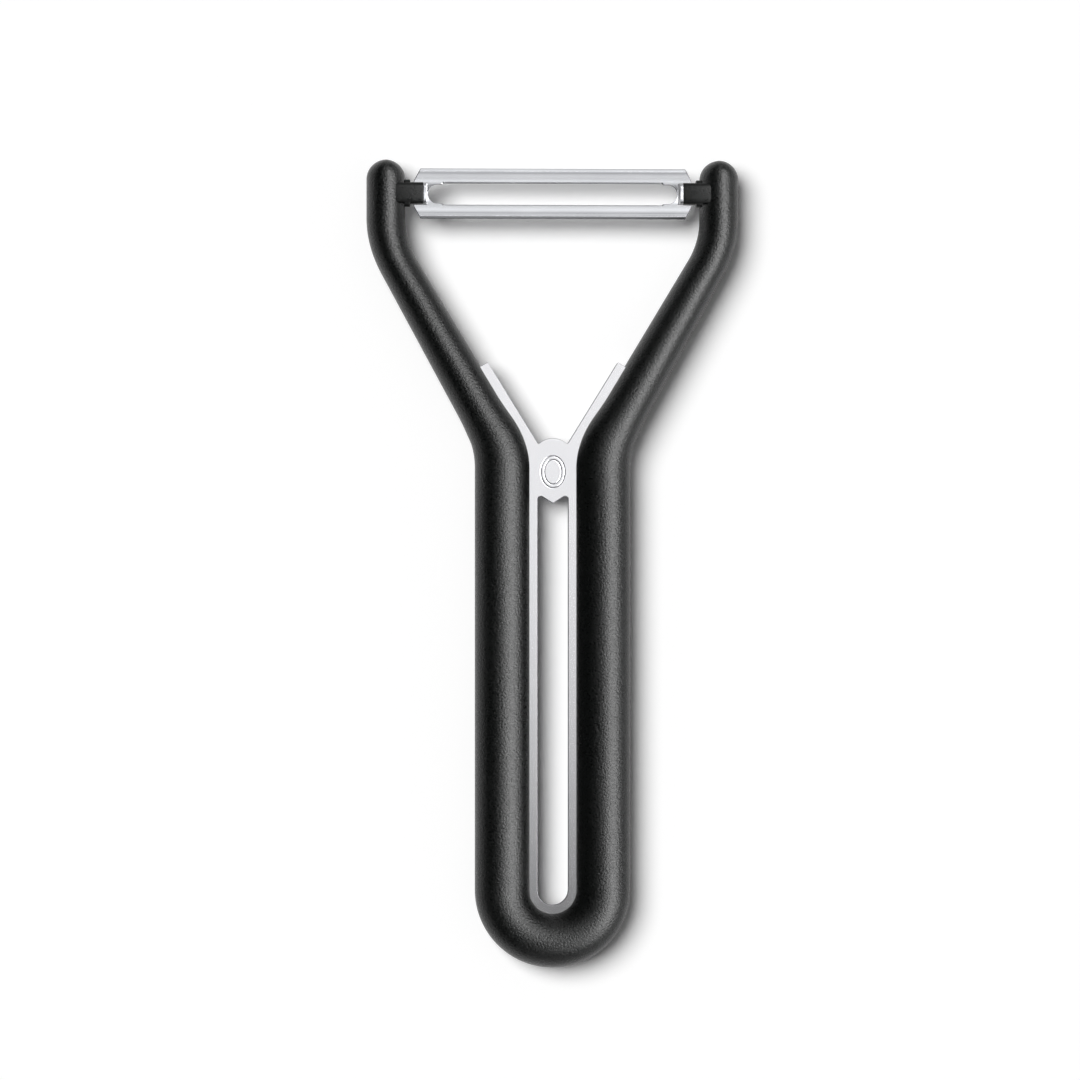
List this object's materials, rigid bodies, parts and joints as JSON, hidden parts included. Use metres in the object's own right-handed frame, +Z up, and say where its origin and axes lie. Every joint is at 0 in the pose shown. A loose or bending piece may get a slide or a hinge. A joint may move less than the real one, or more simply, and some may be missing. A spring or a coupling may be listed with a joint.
{
  "type": "vegetable peeler",
  "caption": "Y-shaped vegetable peeler with a tubular looped handle, a flat core plate with a hanging slot, and a swivelling double-edged blade.",
  "frame": {"origin": "on the table the peeler lies on, under the middle of its length and width", "axes": "+X along the blade to the right, +Y from the butt of the handle to the blade, +Z up from the table to the face"},
  "size_m": [0.076, 0.165, 0.011],
  "materials": {
    "handle_plastic": "fine matte grain, black",
    "plate_metal": "pale satin silver",
    "pin_plastic": "smooth satin, black",
    "blade_steel": "fine satin stainless steel with ground edges"
  },
  "bodies": {
    "handle": {"handle_front_shell": "handle_plastic", "handle_back_shell": "handle_plastic", "core_plate": "plate_metal", "left_pivot_pin": "pin_plastic", "right_pivot_pin": "pin_plastic"},
    "blade": {"blade": "blade_steel"}
  },
  "joints": [
    {"name": "blade_swivel", "type": "hinge", "parent": "handle", "child": "blade", "pos_m": [0, 0.07554, 0.00787], "axis": [1, 0, 0], "range_deg": [-38, 38]}
  ]
}
